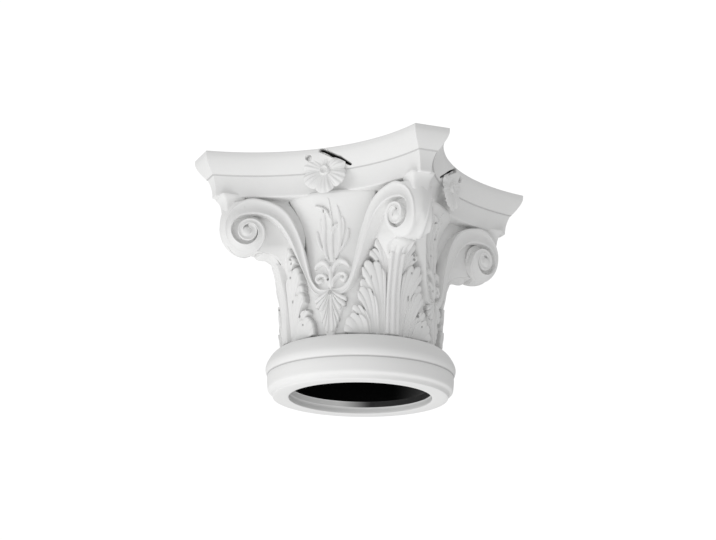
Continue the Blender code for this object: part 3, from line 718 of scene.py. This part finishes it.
def makeWeb():
    # Ruled strip from rim to rim through a middle line that follows the corner's outline.
    v = volute
    turns = np.linspace(*corner["webTurns"], corner["webRows"])
    r = curveValue(turns, v["rimOut"]) - corner["rimInset"]
    narrow = np.cos(np.radians(v["turn"]))
    x = v["eye"][0] + r * np.sin(np.radians(turns)) * narrow
    z = v["eye"][1] + r * np.cos(np.radians(turns))
    rim = frontPlace(x, z, corner["rimBack"] - curveValue(turns, v["riseOut"]))
    out, aside = (rim[:, 0] - rim[:, 1]) / rootTwo, -(rim[:, 0] + rim[:, 1]) / rootTwo
    middle = smoothPath(corner["webMiddle"], corner["webRows"])
    c = np.linspace(-1, 1, corner["webColumns"])[None, :]
    bow = np.abs(c) ** 1.7
    front = atCorner(middle[:, :1] + (out[:, None] - middle[:, :1]) * bow, aside[:, None] * c,
                     middle[:, 1:] + (z[:, None] - middle[:, 1:]) * bow)
    # Back: the same strip drawn in toward the line between the two eyes.
    eyeOut = corner["eyeOut"]
    c = np.linspace(1, -1, 7)[None, :]
    away = np.hypot(out - eyeOut, z - v["eye"][1])
    share = np.maximum(0.2, 1 - corner["webThick"] / away)[:, None]
    backOut = eyeOut + (out - eyeOut)[:, None] * share + 0 * c
    backUp = v["eye"][1] + (z - v["eye"][1])[:, None] * share + 0 * c
    back = atCorner(backOut, aside[:, None] * c * 0.98, backUp)
    return np.concatenate([front, back], axis=1)


def makeGround():
    # Ground inside the volutes, level by level: two planes set back from the fronts, from the bell out to
    # the reach at that height, and narrower toward the foot, where the leaf takes over.
    path = smoothPath(corner["groundPath"], 80)
    back = corner["setback"] / np.cos(np.pi / 4 - np.radians(volute["turn"]))
    least, low, high = corner["groundNarrow"]
    narrow = (least + (1 - least) * ease(path[:, 1], low, high))[:, None]
    radius = corner["groundInner"]
    start = radius - 6.0        # inside the bell's wall
    out = start + (path[:, :1] - start) * np.linspace(0, 1, 16)[None, :]
    half = np.maximum(1.5, halfGap(out) - back) * narrow
    side = atCorner(out, half, path[:, 1:] + 0 * out)
    other = atCorner(out, -half, path[:, 1:] + 0 * out)[:, ::-1]
    angle = -np.arcsin(half[:, :1] / radius) * np.linspace(0.9, -0.9, 7)[None, :]
    inner = atCorner(radius * np.cos(angle), radius * np.sin(angle), path[:, 1:])
    return np.concatenate([side, other, inner], axis=1)


def makeNeck():
    # Upright web, a rounded rectangle at each height that widens into the abacus.
    heights = np.linspace(*corner["neckHeights"], 30)
    reach, half = curveValue(heights, corner["neckReach"]), curveValue(heights, corner["neckHalf"])
    angle = np.linspace(-np.pi / 2, np.pi / 2, 19)
    depth, power = corner["neckRound"]
    forward = np.cos(angle) ** power
    sideways = np.sign(np.sin(angle)) * np.abs(np.sin(angle)) ** power
    out = reach[:, None] - depth + depth * forward[None, :]
    aside = half[:, None] * sideways[None, :]
    front = atCorner(out, aside, heights[:, None] + 0 * out)
    backOut = np.full((len(heights), 2), corner["neckBack"])
    back = atCorner(backOut, half[:, None] * np.array([[1.0, -1.0]]), heights[:, None] + 0 * backOut)
    return np.concatenate([front, back], axis=1)


def placeRound(name, shells, shade=None):
    # the same shells on every face or corner, one piece each
    for turn in range(faceCount):
        placed = [(turnedQuarter(points, turn), quads, triangles) for points, quads, triangles in shells]
        makePiece(f"{name}_{turn + 1}", placed, whitePlaster, shade)


placeRound("corner_web", [closedShell(makeWeb()), closedShell(makeGround()), closedShell(makeNeck())])
print("stage 6: corner webs")


# Relief on the bell: plumes whose leaflets rise from a base and bend out to their tips, and strokes

plumeShade = {"tip": 0.35, "foot": 0.55, "heights": (69.0, 67.0)}


def plumeSheet(plume, side, turnTo=0.0):
    # Leaflets run along t and lie side by side along s. Each line is a parabola from the base B to the tip T,
    # drawn toward a control point C: P = (1 - t)^2 B + 2 t (1 - t) C + t^2 T. C lies at the share lead of the
    # way across and climb of the way up, and the tips are scalloped.
    count, rows = plume["leaflets"] * 12 + 1, plume["rows"]
    s = np.linspace(0, 1, count)[None, :]
    t = (1 - (1 - np.linspace(0, 1, rows)) ** 1.5)[:, None]
    left, right, foot = plume["base"]
    low = np.array([left, foot]) + np.array([right - left, 0.0]) * s.T
    tips = smoothPath(plume["tips"], 400)
    run = np.append(0, np.cumsum(np.linalg.norm(np.diff(tips, axis=0), axis=1)))
    tips = np.stack([np.interp(s[0] * run[-1], run, tips[:, n]) for n in range(2)], -1)
    crest = np.abs(np.sin(np.pi * plume["leaflets"] * s))           # 1 along a leaflet, 0 between two
    short = 1 - plume["notch"] * (1 - crest**0.6)
    tips = low + (tips - low) * short.T
    over = low + (tips - low) * np.array([plume["lead"], plume["climb"]])
    place = [(1 - t) ** 2 * low[:, n] + 2 * t * (1 - t) * over[:, n] + t**2 * tips[:, n] for n in range(2)]
    rise = plume["foot"] + (plume["crest"] - plume["foot"]) * np.sin(np.pi / 2 * np.clip(t / 0.86, 0, 1))
    rise = rise - plume["groove"] * (1 - crest) ** 1.4 * np.clip(0.35 + t, 0, 1)
    rise = rise - 0.7 * plume["groove"] * ease(t, 0.80, 1.0) * (1 - crest)
    rim = np.sqrt(np.clip(1 - (np.clip(t - 0.93, 0, 1) / 0.07) ** 2, 0, 1))
    flank = ease(s, 0.0, 0.035) * ease(s, 1.0, 0.965)
    rise = -3.0 + (rise + 3.0) * rim * flank
    lean = curveValue(np.clip(place[1], 62, 212).ravel(), plume["lean"]).reshape(rise.shape)
    ground = bellGround(place[1])
    front = onBell(side * place[0] + turnTo, ground + (lean * (rise > -2.9) + rise), place[1])
    rear = onBell(side * place[0] + turnTo, ground - 5.0, place[1])[:, ::-6]
    # Painted shade: the drop behind the tips, and the line above the ring.
    unlit = plumeShade["tip"] * ease(t, 0.965, 0.99) * flank + 0 * s
    unlit = np.maximum(unlit, plumeShade["foot"] * ease(place[1], *plumeShade["heights"]))
    shade = np.concatenate([unlit, np.zeros(rear.shape[:2])], axis=1)
    return closedShell(np.concatenate([front, rear], axis=1)), np.append(shade.ravel(), [0.0, 0.0])


def ribSheet(rib, turnTo=0.0):
    # Flutes across a strip whose half width follows a table: a bead, a groove on each side of it, and edges.
    heights = np.linspace(rib["low"], rib["high"], rib["rows"])
    half = curveValue(heights, rib["half"])[:, None]
    t = np.linspace(-1, 1, 49)[None, :]
    side = np.abs(t)
    rise = rib["rise"] + 1.4 * np.exp(-((t / 0.20) ** 2)) - 1.8 * np.exp(-(((side - 0.42) / 0.11) ** 2))
    rise = rise + 0.6 * np.exp(-(((side - 0.72) / 0.15) ** 2))
    rise = rise - 11.0 * np.clip((side - 0.84) / 0.16, 0, 1) ** 2
    lean = curveValue(heights, rib["lean"])[:, None]
    radius = bellGround(heights)[:, None] + np.where(side < 0.98, lean, 0) + rise
    across = half * t + turnTo
    z = heights[:, None] + 0 * across
    rear = onBell(across, radius * 0 + 103.0, z)[:, ::-8]
    return closedShell(np.concatenate([onBell(across, radius, z), rear], axis=1))


sunkRelief = -4.0           # depth under the ground of what no stroke covers


def strokeRelief(u, z, stroke):
    # Rounded ridge along a curve: the square root of 1 - (distance / half width)^2, thinned to both ends.
    path = smoothPath(stroke["path"], 60)
    t = np.linspace(0, 1, len(path))
    width = curveValue(t, stroke["width"])
    best = np.full(u.shape, sunkRelief)
    for place, share, half in zip(path, t, width):
        near = 1 - ((u - place[0]) ** 2 + (z - place[1]) ** 2) / half**2
        ridge = stroke["height"] * np.sqrt(np.clip(near, 0, 1)) * (0.6 + 0.4 * np.sin(np.pi * share) ** 0.5)
        best = np.maximum(best, np.where(near > 0, ridge, sunkRelief))
    return best


leafLean = [(60.0, 0.0), (100.0, 1.5), (130.0, 3.0), (150.0, 6.0), (170.0, 9.0), (190.0, 12.0), (212.0, 15.0)]
ribLean = [(60.0, 0.0), (84.0, 2.5), (113.0, 4.0), (130.0, 6.0), (147.0, 9.5), (161.0, 13.5), (172.0, 17.0),
           (190.0, 24.0)]
# A plume's base is its left and right end and its height; its tips run from left to right.
leafPlume = {"rows": 44, "notch": 0.05, "lead": 0.12, "climb": 0.72, "foot": 0.8, "groove": 1.2,
             "lean": leafLean}
leafPlumes = [
    {"base": (33.0, 60.0, 60.0), "leaflets": 4, "crest": 10.2,
     "tips": [(39.6, 89.0), (46.0, 93.5), (52.0, 95.0), (60.0, 96.0), (67.0, 88.0), (70.0, 78.0),
              (71.0, 68.0)]},
    {"base": (29.0, 42.0, 60.0), "leaflets": 3, "crest": 8.6,
     "tips": [(38.0, 95.0), (43.0, 103.0), (50.0, 108.0), (57.0, 108.5), (61.0, 103.0)]},
    {"base": (18.6, 33.0, 60.0), "leaflets": 4, "crest": 9.4,
     "tips": [(24.6, 115.0), (28.5, 123.0), (34.0, 131.0), (40.0, 134.5), (47.0, 134.5), (52.0, 130.0),
              (52.0, 119.0)]},
    {"base": (24.0, 34.0, 92.0), "leaflets": 2, "crest": 7.2,
     "tips": [(30.0, 144.0), (36.0, 147.5), (43.0, 147.0), (48.0, 143.0), (48.5, 136.0)]},
    {"base": (9.6, 19.0, 60.0), "leaflets": 4, "crest": 8.6,
     "tips": [(11.0, 154.0), (17.0, 160.0), (21.0, 168.0), (28.0, 171.5), (36.0, 172.0), (43.0, 170.0),
              (46.5, 162.0), (46.0, 152.0)]},
    {"base": (12.0, 20.0, 146.0), "leaflets": 2, "crest": 6.6,
     "tips": [(26.0, 186.5), (31.0, 188.0), (35.0, 186.0), (37.0, 179.0)]},
    {"base": (8.0, 16.0, 146.0), "leaflets": 3, "crest": 8.4,
     "tips": [(9.5, 199.0), (11.5, 204.5), (18.0, 207.0), (24.0, 206.5), (28.5, 201.0), (30.5, 193.0)]},
]
# Eyes, painted on the leaf as spots of shade where the casting has drilled holes: arc from the corner, height
# and radius. They differ left and right, as on the real casting.
leafEyes = [(-50.5, 93.5, 1.7), (-23.5, 169.5, 1.7), (-44.5, 168.5, 1.6), (-30.5, 125.5, 1.4),
            (-32.5, 146.5, 1.4), (42.0, 99.0, 2.4), (24.5, 121.0, 1.8), (24.5, 124.5, 1.7),
            (57.5, 110.0, 2.2), (56.5, 106.5, 1.8), (26.0, 158.0, 1.8), (49.5, 85.5, 1.6),
            (29.0, 178.0, 2.2), (28.0, 184.0, 2.0)]
eyeShade = 0.6
leafRib = {"low": 60.0, "high": 180.0, "rows": 70, "rise": 7.4, "lean": ribLean,
           "half": [(60.0, 11.0), (90.0, 10.6), (113.0, 10.8), (153.0, 10.4), (165.0, 10.6), (180.0, 11.0)]}


def reliefRings(across, heights, relief):
    # Sheet that stands on the bell's ground by its relief, closed by a back inside the wall.
    ground, z = bellGround(heights)[:, None], heights[:, None] + 0 * across
    front = onBell(across, ground + relief, z)
    rear = onBell(across[:, ::-24], ground - 6.0 + 0 * across[:, ::24], z[:, ::24])
    return np.concatenate([front, rear], axis=1)


tip = {
    "spine": [(117.0, 146.0), (123.5, 153.0), (128.0, 163.0), (132.5, 173.0), (137.0, 181.5), (141.5, 186.3),
              (147.5, 187.0), (154.0, 186.3), (160.0, 187.4), (163.8, 191.5), (163.5, 197.5), (159.0, 202.0),
              (152.0, 203.5)],
    "half": [(0.0, 9.5), (0.2, 10.6), (0.4, 12.5), (0.55, 15.0), (0.7, 15.5), (0.88, 13.5), (1.0, 11.0)],
    "thick": 4.0,
    "rows": 110,
    "columns": 41,
}


def makeTip():
    # Sheet carried along the spine, up the leaf, out under the tip and round its front; flutes fade on it.
    spine = smoothPath(tip["spine"], tip["rows"])
    along = np.gradient(spine, axis=0)
    along /= np.linalg.norm(along, axis=1)[:, None]
    normal = np.stack([along[:, 1], -along[:, 0]], -1)
    share = np.linspace(0, 1, tip["rows"])
    half = curveValue(share, tip["half"])
    c = np.linspace(-1, 1, tip["columns"])[None, :]
    rib = 1.2 * np.exp(-((c / 0.2) ** 2)) - 1.6 * np.exp(-(((np.abs(c) - 0.42) / 0.12) ** 2))
    rib = rib * ease(share[:, None], 0.62, 0.30)
    droop = (4.0 + 3.0 * ease(share, 0.4, 0.6))[:, None] * c**2
    rise = rib - droop
    out = spine[:, :1] + normal[:, :1] * rise
    up = spine[:, 1:] + normal[:, 1:] * rise
    front = atCorner(out, half[:, None] * c, up)
    behind = -droop - tip["thick"] * (1 - 0.7 * c**4)
    rear = atCorner(spine[:, :1] + normal[:, :1] * behind, half[:, None] * c * 0.96,
                    spine[:, 1:] + normal[:, 1:] * behind)[:, ::-4]
    return np.concatenate([front, rear], axis=1)


def makeLeaves():
    # Plumes to both sides of the flutes, and the curled tip over them.
    sheets = [plumeSheet({**leafPlume, **plume}, side, diagonal) for plume in leafPlumes for side in (-1, 1)]
    whole = [ribSheet(leafRib, diagonal), closedShell(makeTip())]
    shells = [shell for shell, _ in sheets] + whole
    shade = np.concatenate([unlit for _, unlit in sheets] + [np.zeros(len(shell[0])) for shell in whole])
    x, y, z = np.vstack([shell[0] for shell in shells]).T
    across = np.arctan2(x, -y) * reliefRadius - diagonal
    # Painted shade: the line above the ring, and dark spots at the eyes.
    shade = np.maximum(shade, plumeShade["foot"] * ease(z, *plumeShade["heights"]))
    for aside, height, radius in leafEyes:
        near = np.hypot(across - aside, z - height) / radius
        shade = np.maximum(shade, eyeShade * ease(near, 1.2, 0.6))
    placeRound("corner_leaf", shells, shade)


makeLeaves()
print("stage 7: corner leaves")


# Middle of a face: palmette under the bow of the stems, scrolls, calyx and spray above it

middle = {
    "span": 34.0,               # half the arc that the sheet covers
    "body": [(66.0, 10.0), (80.0, 15.0), (100.0, 22.0), (116.0, 24.0), (131.0, 9.0)],
    "low": 64.0,
    "high": 262.0,
    "columns": 73,
    "rows": 190,
    "mirrored": [
        {"path": [(3.0, 138.0), (5.0, 147.0), (12.0, 154.5), (20.0, 155.0), (24.0, 150.0), (21.0, 145.5),
                  (16.5, 147.0)], "height": 7.0, "width": [(0.0, 2.0), (0.5, 3.4), (1.0, 3.2)]},
        {"path": [(2.0, 158.0), (6.0, 168.0), (14.0, 174.0), (23.0, 171.0), (28.0, 165.0)], "height": 6.4,
         "width": [(0.0, 2.5), (0.5, 4.6), (1.0, 2.0)]},
        {"path": [(4.0, 172.0), (10.0, 186.0), (13.5, 205.0), (13.0, 228.0), (11.0, 252.0)], "height": 3.0,
         "width": [(0.0, 1.6), (0.4, 3.4), (0.8, 4.0), (1.0, 1.6)]},
        {"path": [(12.0, 186.0), (19.0, 197.0), (24.0, 208.0), (26.0, 219.0)], "height": 3.2,
         "width": [(0.0, 1.2), (0.6, 3.4), (1.0, 2.6)]},
        {"path": [(13.0, 198.0), (17.5, 212.0), (19.0, 225.0), (18.0, 236.0)], "height": 2.4,
         "width": [(0.0, 1.0), (0.6, 2.4), (1.0, 1.6)]},
    ],
    "single": [
        {"path": [(0.0, 136.0), (0.0, 150.0), (0.0, 166.0)], "height": 6.5,
         "width": [(0.0, 3.0), (0.5, 4.5), (1.0, 3.0)]},
        {"path": [(0.0, 176.0), (-1.0, 200.0), (0.0, 230.0), (0.0, 264.0)], "height": 2.6,
         "width": [(0.0, 4.0), (0.3, 3.4), (0.7, 2.2), (1.0, 1.4)]},
        {"path": [(0.0, 215.0), (4.0, 224.0), (9.0, 228.0)], "height": 5.0,
         "width": [(0.0, 1.6), (0.6, 2.8), (1.0, 1.4)]},
        {"path": [(-1.0, 236.0), (-6.0, 246.0), (-14.0, 251.0), (-21.0, 254.0)], "height": 5.4,
         "width": [(0.0, 1.6), (0.5, 3.4), (1.0, 1.2)]},
    ],
    "eyes": [(-4.7, 147.7, 1.8), (13.4, 139.5, 1.8), (-13.4, 139.5, 1.4), (8.0, 176.5, 1.2),
             (3.2, 226.5, 1.3), (-9.6, 247.0, 1.8), (-4.0, 200.0, 1.5), (24.5, 106.0, 1.4),
             (-24.5, 106.0, 1.2), (16.5, 90.0, 1.2)],
}


palmettePlumes = [
    {"base": (0.5, 2.5, 133.0), "leaflets": 3, "crest": 5.6, "groove": 2.6, "notch": 0.12, "climb": 0.45,
     "tips": [(27.0, 121.0), (25.5, 110.0), (20.0, 104.0), (12.0, 101.0)]},
    {"base": (0.3, 2.0, 131.0), "leaflets": 3, "crest": 4.8, "groove": 2.2, "notch": 0.10, "climb": 0.5,
     "tips": [(16.5, 92.0), (12.0, 80.0), (7.0, 71.0), (0.6, 66.0)]},
]


def makeMiddle():
    # The highest of the swelling and all strokes at each point of a grid, with drilled eyes dented in and
    # painted dark as shade, and two plumes.
    heights = np.linspace(middle["low"], middle["high"], middle["rows"])
    across = np.linspace(-middle["span"], middle["span"], middle["columns"])[None, :] + 0 * heights[:, None]
    z = heights[:, None] + 0 * across
    # The swelling under the palmette is as wide at each height as the table says.
    body = curveValue(np.clip(heights, 66.0, 131.0), middle["body"])[:, None]
    relief = sunkRelief + 7.5 * ease(np.abs(across), body, body - 6.0) * ease(z, 131.0, 126.0)
    for stroke in middle["mirrored"]:
        relief = np.maximum(relief, strokeRelief(np.abs(across), z, stroke))
    for stroke in middle["single"]:
        relief = np.maximum(relief, strokeRelief(across, z, stroke))
    dark = np.zeros_like(across)
    for u, up, radius in middle["eyes"]:
        near = np.hypot(across - u, z - up) / radius
        hole = ease(near, 1.3, 0.6)
        relief = relief * (1 - hole) - hole
        # painted shade in each eye, over its shallow dent
        dark = np.maximum(dark, 0.8 * ease(near, 1.1, 0.5))
    rings = reliefRings(across, heights, relief)
    extra = rings.shape[1] - across.shape[1]
    dark = np.concatenate([dark, np.zeros((len(heights), extra))], axis=1)
    sheets = [plumeSheet({**leafPlume, **plume}, side) for plume in palmettePlumes for side in (-1, 1)]
    shells = [closedShell(rings)] + [shell for shell, _ in sheets]
    shade = np.concatenate([dark.ravel(), [0.0, 0.0]] + [unlit for _, unlit in sheets])
    placeRound("palmette_and_spray", shells, shade)


makeMiddle()
print("stage 8: palmettes and sprays")


# Flowers on the abacus

flower = {
    "petals": 6,
    "thick": 3.2,
    "sides": 216,
    "radii": 28,
    "ribs": 4,
    "boss": [(0.3, -2.0), (2.2, -1.9), (3.6, -1.2), (4.5, 0.0), (5.4, 0.8), (6.3, 0.5), (7.0, -0.8),
             (7.4, -2.6), (7.8, -4.4), (8.6, -5.6), (8.0, -12.0), (7.0, -30.0), (0.3, -31.0)],
}


def makeFlowers():
    # Polar sheet: its reach is scalloped into petals and cut by the gap's line, it rises from the boss to a
    # crest and falls to the edge, with a groove between petals and fine ribs along each.
    f, place = flower, flowerPlace
    angle = np.linspace(0, 2 * np.pi, f["sides"], endpoint=False)
    petal = np.abs(np.cos(f["petals"] * angle / 2))             # 1 along a petal's middle
    line = gap["off"] / np.maximum(np.cos(angle - np.radians(gap["turn"])), 0.3)
    reach = np.minimum(place["radius"] * (0.84 + 0.16 * petal**0.6), line * (0.94 + 0.06 * petal))
    t = np.linspace(0.03, 1, f["radii"])[:, None]
    rise = -6.0 + 6.8 * np.sin(np.pi * t**0.9 * 0.60) ** 1.1 - 2.6 * t**6
    groove = 2.6 * (1 - petal[None, :]) ** 1.8 * np.clip(t * 1.5, 0, 1)
    ribs = 0.55 * np.cos(angle * f["petals"] * f["ribs"])[None, :] * np.clip((t - 0.3) * 2.5, 0, 1)
    front = rise - groove + ribs
    radius = t * reach[None, :]
    back = front[::-1] - f["thick"] * (1 - 0.6 * t[::-1] ** 4)
    allRadius = np.vstack([radius, radius[::-1][1:] * 0.985])
    allRise = np.vstack([front, back[1:]])
    x, z = allRadius * np.sin(angle), allRadius * np.cos(angle)
    sheet = np.stack([x, -(place["out"] - 1.0 + allRise), place["height"] + z], -1)
    boss = np.array(f["boss"])
    side = np.linspace(0, 2 * np.pi, 40, endpoint=False)
    knob = np.stack([boss[:, :1] * np.sin(side), -(place["out"] + boss[:, 1:]) + 0 * side,
                     place["height"] + boss[:, :1] * np.cos(side)], -1)
    for turn in range(faceCount):
        mirror = np.array([1 - 2 * (turn % 2), 1, 1])
        parts = [closedShell(turnedQuarter(part * mirror, turn)) for part in (sheet, knob)]
        makePiece(f"flower_{turn + 1}", parts, whitePlaster)


makeFlowers()
print("stage 9: flowers")


# Camera, floor and light

camera = {                      # fitted to the photograph
    "heading": 22.8755,
    "pitch": 16.1095,
    "roll": 0.6588,
    "place": (1.13003, -2.69213, -0.65216),     # in metres
    "lens": 105.13,
    "sensor": 36.0,
}


def placeObject(name, data, side, up, back, place):
    # an object whose own axes look along side, up and back
    item = addObject(name, data)
    matrix = np.eye(4)
    matrix[:3] = np.stack([side, up, back, place], -1)
    item.matrix_world = Matrix(matrix.tolist())
    return item


def makeCamera():
    # Right, up and back directions of the view, turned by heading, pitch and roll.
    c = camera
    heading, pitch, roll = np.radians((c["heading"], c["pitch"], c["roll"]))
    forward = np.array([-np.sin(heading) * np.cos(pitch), np.cos(heading) * np.cos(pitch), np.sin(pitch)])
    level = np.array([np.cos(heading), np.sin(heading), 0.0])
    above = np.cross(level, forward)
    right = np.cos(roll) * level + np.sin(roll) * above
    up = np.cos(roll) * above - np.sin(roll) * level
    data = bpy.data.cameras.new("view")
    data.lens = c["lens"]
    data.sensor_width = c["sensor"]
    bpy.context.scene.camera = placeObject("view", data, right, up, -forward, c["place"])


# Places and sizes of the floor and the lamps are in metres, and powers in watts.
floorTone = {"half": 30.0, "low": -2.4, "colour": (0.82, 0.82, 0.82, 1.0), "roughness": 0.9}
light = {
    "sky": 0.60,
    "backdrop": 1.05,           # strength that the camera sees behind the capital
    "aim": (0.0, 0.0, 0.16),
    "key": {"place": (-2.2, -2.2, 0.3), "size": 2.0, "power": 18.0},
    "fill": {"place": (-0.1, -1.0, -1.7), "size": 2.0, "power": 22.0},
}


def makeLight(name):
    # a square lamp that looks from its place to the point aimed at
    settings = light[name]
    data = bpy.data.lights.new(name, "AREA")
    data.shape = "SQUARE"
    data.size = settings["size"]
    data.energy = settings["power"]
    place = np.array(settings["place"])
    back = place - np.array(light["aim"])
    back /= np.linalg.norm(back)
    side = np.cross([0.0, 0.0, 1.0], back)
    side /= np.linalg.norm(side)
    placeObject(name, data, side, np.cross(back, side), back, place)


def makeStage():
    # A square floor, and a sky that shines on the capital with one strength and on the camera with another.
    half, low = floorTone["half"], floorTone["low"]
    mesh = bpy.data.meshes.new("floor")
    corners = [(x * half, y * half, low) for x, y in ((-1, -1), (1, -1), (1, 1), (-1, 1))]
    mesh.from_pydata(corners, [], [(0, 1, 2, 3)])
    finish = bpy.data.materials.new("pale floor")
    finish.use_nodes = True
    shader = finish.node_tree.nodes["Principled BSDF"]
    shader.inputs["Base Color"].default_value = floorTone["colour"]
    shader.inputs["Roughness"].default_value = floorTone["roughness"]
    mesh.materials.append(finish)
    floor = addObject("floor", mesh)
    world = bpy.data.worlds.new("studio")
    world.use_nodes = True
    nodes, link = world.node_tree.nodes, world.node_tree.links.new
    sky, path = nodes["Background"], nodes.new("ShaderNodeLightPath")
    strength = nodes.new("ShaderNodeMapRange")
    strength.inputs["To Min"].default_value = light["sky"]
    strength.inputs["To Max"].default_value = light["backdrop"]
    link(path.outputs["Is Camera Ray"], strength.inputs["Value"])
    link(strength.outputs["Result"], sky.inputs["Strength"])
    sky.inputs["Color"].default_value = (1.0, 1.0, 1.0, 1.0)
    bpy.context.scene.world = world


makeCamera()
makeStage()
makeLight("key")
makeLight("fill")
bpy.context.scene.view_settings.view_transform = "Standard"
print("stage 10: camera, floor and light")
